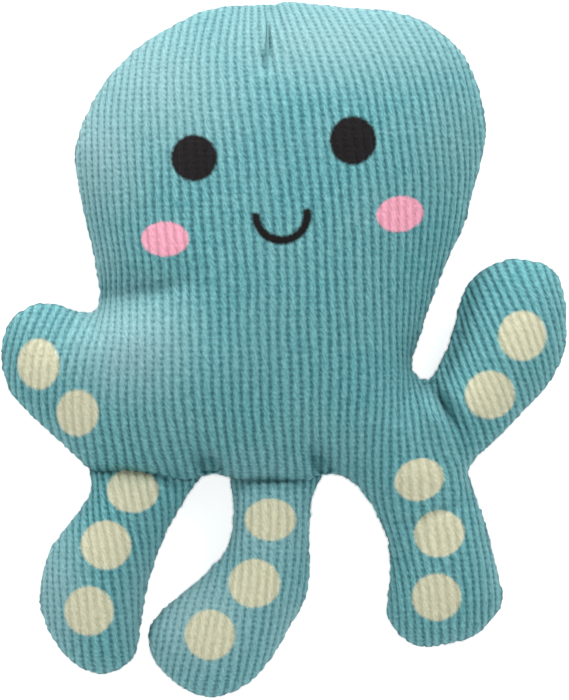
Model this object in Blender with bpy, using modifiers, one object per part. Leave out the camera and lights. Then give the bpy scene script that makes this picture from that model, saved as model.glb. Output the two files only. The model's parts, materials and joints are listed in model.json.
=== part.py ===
# Plush octopus lying on its back, face up: a stuffed body, two arms and three legs.
# Metres. +X is the viewer's right, +Y points to the crown, +Z points out of the face.
# Places in the outline tables are shares of the toy's height, measured from the middle of the toy.

import dataclasses
import math

import bmesh
import bpy
from mathutils import Matrix, Vector
from mathutils.bvhtree import BVHTree

TOY_HEIGHT = 0.240
BODY_FRONT_HEIGHT = 0.0355
BODY_BACK_DEPTH = 0.022
LIMB_HALF_THICKNESS = 0.0135
FABRIC_THICKNESS = 0.0013
FILLING_CLEARANCE = 0.0012
PIECE_GAP = 0.0003
SEAM_THREAD_RADIUS = 0.00025
ROOT_THREAD_RADIUS = 0.00045
STITCH_LENGTH = 0.0030
STITCH_WAIST_SHARE = 0.7
REST_FACE_DEPTH = 0.0005
LEAST_FLOOR_GAP = 0.0004
LARGEST_DROOP = math.radians(9.0)
CUTTER_OVERRUN = 0.010

# The filling stays back from the pointed edge by a few fabric thicknesses, and the seam thread
# lies against the filling's rim and stops short of its corners
FILLING_EDGE_INSET = 5.0 * FABRIC_THICKNESS
THREAD_END_INSET = 4.5 * FABRIC_THICKNESS
THREAD_STANDOFF = 2.5 * PIECE_GAP
LEAST_MITRE_SHARE = 0.2

# Where each limb is sewn to the body, clockwise round the body as the viewer sees it
RIGHT_ARM_ROOT_SHARES = ((0.201, -0.041), (0.263, -0.162))
RIGHT_LEG_ROOT_SHARES = ((0.262, -0.163), (0.092, -0.183))
MIDDLE_LEG_ROOT_SHARES = ((0.053, -0.186), (-0.078, -0.188))
LEFT_LEG_ROOT_SHARES = ((-0.121, -0.185), (-0.278, -0.173))
LEFT_ARM_ROOT_SHARES = ((-0.276, -0.169), (-0.283, 0.053))

# Body stations from the crown down: left edge, right edge, shares of the front height and of the
# back depth, and roundness, where 0.5 is an ellipse and larger values are more pointed. From
# LEFT_ARM_ROW and RIGHT_ARM_ROW down, the edges follow the arms' roots.
BODY_STATION_SHARES = (
    ((-0.114, 0.489), (0.148, 0.489), 0.00, 0.00, 0.50),
    ((-0.195, 0.452), (0.241, 0.452), 0.60, 0.62, 0.50),
    ((-0.257, 0.390), (0.281, 0.397), 0.85, 0.88, 0.50),
    ((-0.303, 0.293), (0.297, 0.303), 1.00, 1.00, 0.52),
    ((-0.298, 0.195), (0.270, 0.195), 1.01, 1.00, 0.52),
    ((-0.266, 0.100), (0.226, 0.100), 1.01, 1.00, 0.52),
    ((-0.283, 0.053), (0.201, 0.032), 1.00, 1.00, 0.52),
    ((-0.281, -0.020), (0.201, -0.041), 0.94, 1.00, 0.52),
    ((-0.279, -0.080), (0.222, -0.090), 0.85, 0.94, 0.52),
    ((-0.277, -0.140), (0.250, -0.138), 0.62, 0.74, 0.52),
    ((-0.276, -0.169), (0.263, -0.162), 0.00, 0.00, 0.52),
)
BODY_COLUMN_SHARES = (
    0.0, 0.04, 0.11, 0.20, 0.287, 0.367, 0.488, 0.610, 0.683, 0.786, 0.893, 0.96, 1.0
)
LEFT_ARM_ROW = 6
RIGHT_ARM_ROW = 7
COLUMNS_ON_ROOTS = {"left_leg": (0, 4), "middle_leg": (5, 7), "right_leg": (8, 12)}
CROWN_BOW_SHARE = 0.015
LIMB_COLUMN_SHARES = (0.0, 0.25, 0.5, 0.75, 1.0)
LIMB_ROUNDNESS = 0.5
TIP_BOW_SHARE = 0.02

# Limb stations from the root to the tip: both edges and the share of the limb's half thickness
LEFT_LEG_STATION_SHARES = (
    ((-0.283, -0.208), (-0.134, -0.205), 0.50),
    ((-0.311, -0.250), (-0.168, -0.264), 0.88),
    ((-0.350, -0.310), (-0.191, -0.322), 1.00),
    ((-0.360, -0.370), (-0.200, -0.371), 1.00),
    ((-0.346, -0.423), (-0.204, -0.428), 0.86),
    ((-0.302, -0.456), (-0.232, -0.456), 0.00),
)
MIDDLE_LEG_STATION_SHARES = (
    ((-0.071, -0.227), (0.041, -0.227), 0.58),
    ((-0.073, -0.273), (0.041, -0.301), 0.94),
    ((-0.121, -0.335), (0.025, -0.388), 1.00),
    ((-0.187, -0.373), (-0.010, -0.442), 1.00),
    ((-0.206, -0.417), (-0.050, -0.478), 0.86),
    ((-0.174, -0.467), (-0.110, -0.488), 0.00),
)
RIGHT_LEG_STATION_SHARES = (
    ((0.115, -0.204), (0.275, -0.196), 0.48),
    ((0.141, -0.250), (0.291, -0.241), 0.90),
    ((0.155, -0.304), (0.305, -0.296), 1.00),
    ((0.145, -0.365), (0.323, -0.353), 1.00),
    ((0.152, -0.392), (0.311, -0.380), 0.80),
    ((0.194, -0.418), (0.256, -0.413), 0.00),
)
RIGHT_ARM_STATION_SHARES = (
    ((0.299, -0.140), (0.227, -0.019), 0.55),
    ((0.354, -0.083), (0.246, 0.038), 0.97),
    ((0.397, -0.022), (0.259, 0.099), 1.00),
    ((0.409, 0.051), (0.292, 0.131), 0.80),
    ((0.389, 0.107), (0.332, 0.128), 0.00),
)
LEFT_ARM_STATION_SHARES = (
    ((-0.314, 0.061), (-0.305, -0.153), 0.52),
    ((-0.352, 0.072), (-0.345, -0.116), 0.92),
    ((-0.376, 0.060), (-0.372, -0.088), 0.74),
    ((-0.394, 0.030), (-0.392, -0.048), 0.00),
)

# The dart closes a fold that runs down from the crown on the face side
DART_CROWN_SHARES = (-0.023, 0.502)
DART_EDGE_CLEARANCE = 0.0012
DART_LENGTH = 0.0168
DART_POINTS = 15

# The gap in the side seam that the filling went in by, sewn up by hand
CLOSING_TOP_ROW = 4

LIMBS = {
    "right_arm": (RIGHT_ARM_ROOT_SHARES, RIGHT_ARM_STATION_SHARES, False),
    "right_leg": (RIGHT_LEG_ROOT_SHARES, RIGHT_LEG_STATION_SHARES, False),
    "middle_leg": (MIDDLE_LEG_ROOT_SHARES, MIDDLE_LEG_STATION_SHARES, True),
    "left_leg": (LEFT_LEG_ROOT_SHARES, LEFT_LEG_STATION_SHARES, True),
    "left_arm": (LEFT_ARM_ROOT_SHARES, LEFT_ARM_STATION_SHARES, False),
}

PLUSH_COLOUR = (0.15, 0.36, 0.38)
FILLING_COLOUR = (0.85, 0.85, 0.83)
THREAD_COLOUR = (0.07, 0.20, 0.21)
PLUSH_ROUGHNESS = 0.9
FILLING_ROUGHNESS = 1.0
THREAD_ROUGHNESS = 0.6

# Extra sides on a thread's round section: seam threads are hidden, root threads show
SEAM_THREAD_FINENESS = 0
ROOT_THREAD_FINENESS = 1


def place(shares):
    return Vector((shares[0], shares[1], 0.0)) * TOY_HEIGHT


def make_material(name, colour, roughness):
    material = bpy.data.materials.new(name)
    material.use_nodes = True
    shader = material.node_tree.nodes["Principled BSDF"]
    shader.inputs["Base Color"].default_value = (*colour, 1.0)
    shader.inputs["Roughness"].default_value = roughness
    shader.inputs["Metallic"].default_value = 0.0
    return material


def add_object(name, data, collection, parent, colour, roughness):
    piece = bpy.data.objects.new(name, data)
    collection.objects.link(piece)
    piece.parent = parent
    piece.data.materials.append(make_material(name + "_material", colour, roughness))
    return piece


def add_empty(name, collection, parent, location, turn):
    empty = bpy.data.objects.new(name, None)
    collection.objects.link(empty)
    empty.parent = parent
    empty.location = location
    empty.rotation_euler = turn
    return empty


@dataclasses.dataclass
class Pillow:
    """A cage of stations across two edges, pointed all round where the fabrics are sewn.

    A station is its two edge points, its height in front, its depth behind and its roundness.
    The first and last stations bow outward, and the points in on_roots replace the rim's own.
    """

    stations: list
    columns: tuple
    corners: set
    first_bow: float = 0.0
    last_bow: float = 0.0
    on_roots: dict = dataclasses.field(default_factory=dict)

    @property
    def last_row(self):
        return len(self.stations) - 1

    @property
    def last_column(self):
        return len(self.columns) - 1

    def rim_keys(self):
        """The rim's cage corners as (station, column), clockwise as seen from the front."""
        keys = [(0, j) for j in range(self.last_column)]
        keys += [(i, self.last_column) for i in range(self.last_row)]
        keys += [(self.last_row, j) for j in range(self.last_column, 0, -1)]
        keys += [(i, 0) for i in range(self.last_row, 0, -1)]
        return keys

    def plan(self):
        """The cage's points in the plane of the seam."""
        middles = [(first + last) / 2 for first, last, *_ in self.stations]
        bows = {
            0: (middles[0] - middles[1]).normalized() * self.first_bow,
            self.last_row: (middles[-1] - middles[-2]).normalized() * self.last_bow,
        }
        plan = {}
        for i, (first, last, *_) in enumerate(self.stations):
            for j, share in enumerate(self.columns):
                bow = bows.get(i, Vector((0.0, 0.0, 0.0)))
                plan[i, j] = first.lerp(last, share) + bow * 4 * share * (1 - share)
        plan.update(self.on_roots)
        return plan

    def cage(self, name, inset=0.0, drop=0.0):
        """A closed mesh with a creased rim; inset and drop make the smaller one inside."""
        keys = self.rim_keys()
        plan = inset_rim(self.plan(), keys, inset)
        cage = bmesh.new()
        crease_of_edge = cage.edges.layers.float.new("crease_edge")
        crease_of_vertex = cage.verts.layers.float.new("crease_vert")
        front, back = {}, {}
        for i, (_, _, height, depth, roundness) in enumerate(self.stations):
            for j, share in enumerate(self.columns):
                point = plan[i, j]
                if (i, j) in keys:
                    front[i, j] = back[i, j] = cage.verts.new(point)
                    continue
                swell = (1.0 - (2.0 * share - 1.0) ** 2) ** roundness
                front[i, j] = cage.verts.new(point + Vector((0.0, 0.0, height * swell - drop)))
                back[i, j] = cage.verts.new(point - Vector((0.0, 0.0, depth * swell - drop)))
        for i in range(self.last_row):
            for j in range(self.last_column):
                ring = ((i, j), (i + 1, j), (i + 1, j + 1), (i, j + 1))
                cage.faces.new([front[key] for key in ring])
                cage.faces.new([back[key] for key in reversed(ring)])
        rim = {front[key] for key in keys}
        for edge in cage.edges:
            if edge.verts[0] in rim and edge.verts[1] in rim:
                edge[crease_of_edge] = 1.0
        for corner in self.corners:
            front[corner][crease_of_vertex] = 1.0
        mesh = bpy.data.meshes.new(name)
        cage.to_mesh(mesh)
        cage.free()
        mesh.shade_smooth()
        return mesh

    def rim_path(self, start, end, inset):
        """The rim between two cage corners, clockwise, softened as the subdivided rim is."""
        keys = self.rim_keys()
        plan = inset_rim(self.plan(), keys, inset)
        points = []
        for index, key in enumerate(keys):
            before, here = plan[keys[index - 1]], plan[key]
            after = plan[keys[(index + 1) % len(keys)]]
            points.append((key, here if key in self.corners else (before + 6 * here + after) / 8))
            points.append((None, (here + after) / 2))
        first = [key for key, _ in points].index(start)
        last = [key for key, _ in points].index(end)
        if last < first:
            last += len(points)
        return [points[index % len(points)][1] for index in range(first, last + 1)]


def inset_rim(plan, keys, inset):
    """The same plan with its rim moved inward, square to both of the rim's sides at each point."""
    moved = dict(plan)
    for index, key in enumerate(keys):
        before, after = plan[keys[index - 1]], plan[keys[(index + 1) % len(keys)]]
        sides = (plan[key] - before).normalized(), (after - plan[key]).normalized()
        inward = sum((right_of(side) for side in sides), Vector()) / 2
        moved[key] = plan[key] + inward * inset / max(inward.length_squared, LEAST_MITRE_SHARE)
    return moved


def right_of(direction):
    """A quarter turn clockwise, which points inward from a clockwise rim."""
    return Vector((direction.y, -direction.x, 0.0))


def soften(piece):
    modifier = piece.modifiers.new("soft_form", "SUBSURF")
    modifier.levels = 1
    modifier.render_levels = 1


def keep_between(piece, low, high, cutters):
    """Keeps the slice of the piece from low to high above its seam."""
    points = [Vector(corner) for corner in piece.bound_box]
    least = Vector(min(p[axis] for p in points) for axis in range(3))
    most = Vector(max(p[axis] for p in points) for axis in range(3))
    size = most - least
    size += Vector((CUTTER_OVERRUN, CUTTER_OVERRUN, 0.0)) * 2
    size.z = high - low
    centre = (least + most) / 2
    centre.z = (low + high) / 2
    block = bmesh.new()
    bmesh.ops.create_cube(block, size=1.0)
    bmesh.ops.transform(block, matrix=Matrix.LocRotScale(centre, None, size), verts=block.verts)
    mesh = bpy.data.meshes.new(piece.name + "_slice")
    block.to_mesh(mesh)
    block.free()
    cutter = bpy.data.objects.new(piece.name + "_slice", mesh)
    cutters.objects.link(cutter)
    cutter.parent = piece.parent
    cutter.hide_render = True
    cutter.display_type = "WIRE"
    modifier = piece.modifiers.new("slice", "BOOLEAN")
    modifier.operation = "INTERSECT"
    modifier.solver = "EXACT"
    modifier.use_self = True
    modifier.object = cutter


def add_panel(name, cage, front_side, reach, parts, cutters, parent):
    """Half of a pillow's fabric: the cage's surface, thickened inward and cut off at the seam."""
    panel = add_object(name, cage, parts, parent, PLUSH_COLOUR, PLUSH_ROUGHNESS)
    soften(panel)
    wall = panel.modifiers.new("fabric", "SOLIDIFY")
    wall.thickness = FABRIC_THICKNESS
    wall.offset = -1.0
    wall.use_even_offset = False
    if front_side:
        keep_between(panel, PIECE_GAP / 2, reach, cutters)
    else:
        keep_between(panel, -reach, -PIECE_GAP / 2, cutters)
    return panel


def add_filling(cage, parts, parent):
    filling = add_object(cage.name, cage, parts, parent, FILLING_COLOUR, FILLING_ROUGHNESS)
    soften(filling)
    return filling


def add_thread(name, points, radii, fineness, parts, parent):
    """A thread as a round tube along the points, with one radius for each."""
    curve = bpy.data.curves.new(name, "CURVE")
    curve.dimensions = "3D"
    curve.bevel_depth = max(radii)
    curve.bevel_resolution = fineness
    curve.use_fill_caps = True
    spline = curve.splines.new("POLY")
    spline.points.add(len(points) - 1)
    for control, point, radius in zip(spline.points, points, radii):
        control.co = (*point, 1.0)
        control.radius = radius / curve.bevel_depth
    return add_object(name, curve, parts, parent, THREAD_COLOUR, THREAD_ROUGHNESS)


def add_seam_thread(name, path, parts, parent):
    """Lies against a filling's clockwise rim, between the two panels, and stops short of its ends."""
    points = []
    for before, here, after in zip(path, path[1:], path[2:]):
        along = (after - before).normalized()
        nearest_end = min((here - path[0]).length, (here - path[-1]).length)
        if nearest_end > THREAD_END_INSET:
            points.append(here - right_of(along) * (SEAM_THREAD_RADIUS + THREAD_STANDOFF))
    radii = [SEAM_THREAD_RADIUS] * len(points)
    return add_thread(name, points, radii, SEAM_THREAD_FINENESS, parts, parent)


def add_root_thread(name, length, parts, parent):
    """Lock stitches along a limb's root: the thread thickens and thins once a stitch."""
    count = max(round(length / STITCH_LENGTH), 2)
    points, radii = [], []
    for index in range(2 * count + 1):
        points.append(Vector((length * (index / (2 * count) - 0.5), 0.0, 0.0)))
        radii.append(ROOT_THREAD_RADIUS * (STITCH_WAIST_SHARE if index % 2 == 0 else 1.0))
    return add_thread(name, points, radii, ROOT_THREAD_FINENESS, parts, parent)


def evaluated_tree(piece):
    graph = bpy.context.evaluated_depsgraph_get()
    return BVHTree.FromObject(piece, graph)


def add_dart_thread(name, filling, panel, parts, parent):
    """Lies half way between the filling and the inside of the front panel."""
    filling_tree = evaluated_tree(filling)
    panel_tree = evaluated_tree(panel)
    top = place(DART_CROWN_SHARES) - Vector((0.0, FILLING_EDGE_INSET + DART_EDGE_CLEARANCE, 0.0))
    bottom = top - Vector((0.0, DART_LENGTH, 0.0))
    points = []
    for index in range(DART_POINTS):
        above = top.lerp(bottom, index / (DART_POINTS - 1))
        above.z = BODY_FRONT_HEIGHT + CUTTER_OVERRUN
        low, normal, _, _ = filling_tree.ray_cast(above, Vector((0.0, 0.0, -1.0)))
        high, _, _, _ = panel_tree.ray_cast(low + normal * SEAM_THREAD_RADIUS, normal)
        points.append((low + high) / 2)
    radii = [SEAM_THREAD_RADIUS] * len(points)
    return add_thread(name, points, radii, SEAM_THREAD_FINENESS, parts, parent)


def root_edge_offset(stitched):
    """Half the space at a limb's root: room for the thread, or the bare gap."""
    return ROOT_THREAD_RADIUS + PIECE_GAP if stitched else PIECE_GAP / 2


def body_edge_on(limb, count):
    """Points of the body's edge along a limb's root, from its second end to its first."""
    root, _, stitched = LIMBS[limb]
    start, end = place(root[0]), place(root[1])
    inward = right_of((end - start).normalized()) * root_edge_offset(stitched)
    return [end.lerp(start, index / (count - 1)) + inward for index in range(count)]


def body_points_on_roots(last_row):
    """The rim's points that meet limbs: the left and right edges and all of the lower edge."""
    points = {}
    for limb, (first, last) in COLUMNS_ON_ROOTS.items():
        for j, point in enumerate(body_edge_on(limb, last - first + 1), first):
            points[last_row, j] = point
    for i, point in enumerate(body_edge_on("left_arm", last_row - LEFT_ARM_ROW + 1)):
        points.setdefault((LEFT_ARM_ROW + i, 0), point)
    right_side = reversed(body_edge_on("right_arm", last_row - RIGHT_ARM_ROW + 1))
    for i, point in enumerate(right_side):
        points.setdefault((RIGHT_ARM_ROW + i, len(BODY_COLUMN_SHARES) - 1), point)
    return points


def build_body(parts, cutters, parent):
    stations = []
    for first, last, front, back, roundness in BODY_STATION_SHARES:
        heights = front * BODY_FRONT_HEIGHT, back * BODY_BACK_DEPTH
        stations.append((place(first), place(last), *heights, roundness))
    last_row = len(stations) - 1
    last_column = len(BODY_COLUMN_SHARES) - 1
    root_ends = {(last_row, j) for columns in COLUMNS_ON_ROOTS.values() for j in columns}
    body = Pillow(
        stations=stations,
        columns=BODY_COLUMN_SHARES,
        corners=root_ends | {(LEFT_ARM_ROW, 0), (RIGHT_ARM_ROW, last_column)},
        first_bow=CROWN_BOW_SHARE * TOY_HEIGHT,
        on_roots=body_points_on_roots(last_row),
    )
    reach = BODY_FRONT_HEIGHT + BODY_BACK_DEPTH
    resting = BODY_BACK_DEPTH - REST_FACE_DEPTH
    cage = body.cage("body_cage")
    front = add_panel("body_front_panel", cage, True, reach, parts, cutters, parent)
    add_panel("body_back_panel", cage.copy(), False, resting, parts, cutters, parent)

    inner = body.cage("body_filling", FILLING_EDGE_INSET, FABRIC_THICKNESS + FILLING_CLEARANCE)
    filling = add_filling(inner, parts, parent)

    sewn = body.rim_path((CLOSING_TOP_ROW, 0), (RIGHT_ARM_ROW, last_column), FILLING_EDGE_INSET)
    closed = body.rim_path((LEFT_ARM_ROW, 0), (CLOSING_TOP_ROW, 0), FILLING_EDGE_INSET)
    add_seam_thread("body_seam_thread", sewn, parts, parent)
    add_seam_thread("closing_thread", closed, parts, parent)
    add_dart_thread("crown_dart_thread", filling, front, parts, parent)


def droop_of(stations, seam_height):
    """The tilt that lets a limb hang until its back nears the floor."""
    tilts = [LARGEST_DROOP]
    for first, last, _, depth, _ in stations[1:]:
        reach = max(first.y, last.y)
        span = math.hypot(reach, depth)
        if span > seam_height:
            tilts.append(math.asin((seam_height - LEAST_FLOOR_GAP) / span) - math.atan2(depth, reach))
    return max(min(tilts), 0.0)


def build_limb(name, root, rows, stitched, parts, cutters, parent):
    """A limb in its own frame: +X along its root, which is its hinge, and +Y toward its tip."""
    start, end = place(root[0]), place(root[1])
    middle = (start + end) / 2
    yaw = math.atan2(end.y - start.y, end.x - start.x)
    to_limb = Matrix.Rotation(-yaw, 4, "Z") @ Matrix.Translation(-middle)
    half_root = (end - start).length / 2
    offset = root_edge_offset(stitched)

    root_edge = Vector((half_root, offset, 0.0)), Vector((-half_root, offset, 0.0))
    stations = [(*root_edge, 0.0, 0.0, LIMB_ROUNDNESS)]
    for first, last, share in rows:
        edges = sorted((to_limb @ place(first), to_limb @ place(last)), key=lambda point: -point.x)
        thickness = share * LIMB_HALF_THICKNESS
        stations.append((*edges, thickness, thickness, LIMB_ROUNDNESS))
    limb = Pillow(
        stations=stations,
        columns=LIMB_COLUMN_SHARES,
        corners={(0, 0), (0, len(LIMB_COLUMN_SHARES) - 1)},
        last_bow=TIP_BOW_SHARE * TOY_HEIGHT,
    )
    droop = droop_of(stations, BODY_BACK_DEPTH - REST_FACE_DEPTH)
    hinge = add_empty(name + "_hinge", parts, parent, middle, (-droop, 0.0, yaw))
    reach = LIMB_HALF_THICKNESS + CUTTER_OVERRUN
    cage = limb.cage(name + "_cage")
    add_panel(name + "_front_panel", cage, True, reach, parts, cutters, hinge)
    add_panel(name + "_back_panel", cage.copy(), False, reach, parts, cutters, hinge)

    inner = limb.cage(name + "_filling", FILLING_EDGE_INSET, FABRIC_THICKNESS + FILLING_CLEARANCE)
    add_filling(inner, parts, hinge)

    path = limb.rim_path((0, limb.last_column), (0, 0), FILLING_EDGE_INSET)
    add_seam_thread(name + "_seam_thread", path, parts, hinge)
    if stitched:
        add_root_thread(name + "_root_thread", 2 * (half_root - PIECE_GAP), parts, hinge)


def stand_on_origin(parts, frame):
    """Moves the toy so that its resting face is at z = 0 and its box is centred on the z axis."""
    bpy.context.view_layer.update()
    graph = bpy.context.evaluated_depsgraph_get()
    corners = []
    for piece in parts.objects:
        if piece.type == "EMPTY":
            continue
        solid = piece.evaluated_get(graph)
        shape = solid.to_mesh()
        corners += [piece.matrix_world @ vertex.co for vertex in shape.vertices]
        solid.to_mesh_clear()
    least = [min(corner[axis] for corner in corners) for axis in range(3)]
    most = [max(corner[axis] for corner in corners) for axis in range(3)]
    seam_height = BODY_BACK_DEPTH - REST_FACE_DEPTH
    frame.location = (-(least[0] + most[0]) / 2, -(least[1] + most[1]) / 2, seam_height)


def main():
    for leftover in list(bpy.data.objects):
        bpy.data.objects.remove(leftover, do_unlink=True)
    parts = bpy.data.collections.new("plush_octopus")
    cutters = bpy.data.collections.new("cutters")
    for collection in (parts, cutters):
        bpy.context.scene.collection.children.link(collection)
    frame = add_empty("toy_frame", parts, None, (0.0, 0.0, 0.0), (0.0, 0.0, 0.0))
    build_body(parts, cutters, frame)
    for name, (root, rows, stitched) in LIMBS.items():
        build_limb(name, root, rows, stitched, parts, cutters, frame)
    stand_on_origin(parts, frame)


main()
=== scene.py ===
# Plush octopus in ribbed velour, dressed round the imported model. Metres, +Z up, face up.
import json
import math

import bpy
import numpy as np
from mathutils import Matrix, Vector, kdtree
from mathutils.geometry import delaunay_2d_cdt


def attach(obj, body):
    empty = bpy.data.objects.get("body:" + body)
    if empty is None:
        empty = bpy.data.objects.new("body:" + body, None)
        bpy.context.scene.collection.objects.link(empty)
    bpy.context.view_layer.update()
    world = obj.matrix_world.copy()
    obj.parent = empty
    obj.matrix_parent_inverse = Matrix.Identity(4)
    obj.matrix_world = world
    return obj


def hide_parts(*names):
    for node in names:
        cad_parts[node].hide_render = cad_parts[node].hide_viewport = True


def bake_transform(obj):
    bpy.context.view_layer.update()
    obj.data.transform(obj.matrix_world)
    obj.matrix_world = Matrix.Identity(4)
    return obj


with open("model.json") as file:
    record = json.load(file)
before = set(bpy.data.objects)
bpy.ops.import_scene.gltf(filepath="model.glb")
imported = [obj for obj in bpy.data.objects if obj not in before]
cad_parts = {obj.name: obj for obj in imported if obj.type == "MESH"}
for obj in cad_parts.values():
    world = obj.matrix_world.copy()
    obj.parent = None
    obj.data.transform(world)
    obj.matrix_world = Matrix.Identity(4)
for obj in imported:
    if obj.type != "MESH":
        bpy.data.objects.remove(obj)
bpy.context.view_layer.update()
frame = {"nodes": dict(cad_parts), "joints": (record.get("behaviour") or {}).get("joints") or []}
joints = {joint["child"]: joint for joint in frame["joints"]}
print("frame loaded:", len(frame["nodes"]), "nodes")

# The photograph's pixels, tied to the frame by one joint and the toy's height
photo = {
    "width": 569,
    "height": 700,
    "pixelsTall": 695,  # crown to foot
    "toyHeight": 0.240,
    "middleLegJoint": (275.3, 480.5),
}
pixel = photo["toyHeight"] / photo["pixelsTall"]
photoMiddle = (photo["width"] / 2, photo["height"] / 2)
tie = joints["middle_leg"]["pos_m"]
seamHeight = tie[2]
pixelZero = (
    tie[0] - photo["middleLegJoint"][0] * pixel,
    tie[1] + photo["middleLegJoint"][1] * pixel,
)

white = (1, 1, 1, 1)
studio = {
    "lamps": {  # place and watts
        "key lamp": ((-1.58, 0.91, 1.08), 16.0),
        "crown lamp": ((0.0, 2.05, 0.47), 27.0),
        "side lamp": ((0.95, 1.14, 1.52), 19.0),
        "foot lamp": ((0.35, -1.95, 0.62), 12.5),
    },
    "lampSize": 0.9,
    "worldStrength": 0.50,
    "floor": {"Base Color": (0.90, 0.90, 0.90, 1), "Roughness": 0.9, "Emission Color": white},
    "floorGlow": 0.78,
    "floorHalf": 3.0,
    "lampAim": (0, 0, 0.03),
    "cameraHeight": 2.4,  # above the seam
    "sensor": 36.0,
    "farthest": 20,
}


def toWorld(points):
    points = np.asarray(points, float)
    return np.stack([pixelZero[0] + points[:, 0] * pixel, pixelZero[1] - points[:, 1] * pixel], 1)


def toPixels(points):
    return np.stack([(points[:, 0] - pixelZero[0]) / pixel, (pixelZero[1] - points[:, 1]) / pixel], 1)


torso = {
    "frontRise": 0.86,  # height in the middle as a share of the half width
    "frontEase": 0.175,  # how soon a wide form stops rising
    "backRise": 0.86,
    "backEase": 0.062,
    "point": 0.75,  # 0.5 is round, 1 is pointed like a lens
}
legForm = {"frontRise": 0.84, "frontEase": 0.175, "backRise": 0.78, "backEase": 0.175, "point": 0.72}
leftLeg, middleLeg = dict(legForm), dict(legForm)

# Outlines in photo pixels, from the crown or the root down the left side and up the right
torso["outline"] = [
    (290, 2), (268, 5), (247, 5), (218, 8), (196, 14), (174, 25), (152, 38), (134, 51), (120, 65),
    (105, 82), (94, 100), (84, 120), (78, 138), (75, 156), (77, 178), (82, 203), (87, 225), (92, 247),
    (96, 268), (99, 287), (99, 301), (95, 310), (87, 313), (73, 310), (57, 305), (38, 304), (23, 310),
    (13, 317), (5, 331), (1, 350), (2, 367), (6, 382), (11, 393), (25, 409), (39, 423), (54, 436),
    (69, 450), (80, 460), (87, 467), (96, 471), (125, 471), (149, 474), (170, 477), (187, 480),
    (198, 478), (206, 475.5), (214, 474), (222, 475), (231, 478), (242, 480), (262, 481.5), (290, 481),
    (308, 479), (320, 476), (329, 474), (337, 475), (346, 478), (358, 487), (366, 496), (373, 507),
    (381, 524), (387, 537), (389, 552), (390, 573), (389, 591), (387, 608), (389, 620), (396, 631),
    (405, 640), (415, 646), (424, 648), (436, 647), (458, 643), (476, 636), (486, 628), (495, 617),
    (501, 608), (503, 597), (500, 580), (494, 556), (490, 539), (484, 519), (478, 502), (472, 487),
    (469, 477), (470, 466), (478, 456), (499, 436), (520, 415), (544, 390), (561, 363), (567, 338),
    (567, 310), (564, 290), (557, 273), (542, 263), (522, 259), (506, 260), (488, 267), (475, 277),
    (466, 288), (459, 306), (454, 327), (449, 344), (441, 362), (435, 373), (429, 379), (420, 378),
    (414, 372), (412, 363), (415, 350), (421, 334), (426, 316), (434, 294), (441, 276), (452, 250),
    (463, 229), (470, 203), (476, 181), (481, 160), (485, 141), (485, 120), (481, 98), (474, 76),
    (464, 56), (452, 42), (439, 31), (421, 20), (399, 13), (371, 9), (341, 7), (315, 4),
]
leftLeg["outline"] = [
    (150, 432), (118, 435), (104, 443), (96, 456), (90, 470), (92, 483), (89, 495), (79, 511), (60, 536),
    (49, 552), (43, 573), (39, 596), (41, 613), (48, 632), (61, 652), (78, 668), (92, 674), (105, 675),
    (122, 668), (133, 657), (138, 642), (141, 620), (145, 599), (149, 580), (155, 561), (162, 542),
    (170, 524), (180, 508), (190, 491), (199, 479), (200, 467), (195, 452), (182, 438),
]
middleLeg["outline"] = [
    (276, 432), (252, 436), (240, 447), (233, 463), (230, 479), (233, 496), (233, 518), (231, 536),
    (224, 554), (212, 567), (196, 583), (178, 597), (161, 612), (152, 623), (148, 636), (150, 650),
    (156, 664), (168, 678), (181, 688), (193, 694), (208, 698), (224, 696), (239, 690), (253, 680),
    (268, 664), (280, 645), (291, 625), (302, 606), (308, 587), (310, 565), (309, 543), (310, 518),
    (312, 499), (316, 486), (321, 477), (319, 463), (312, 447), (300, 436),
]

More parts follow.
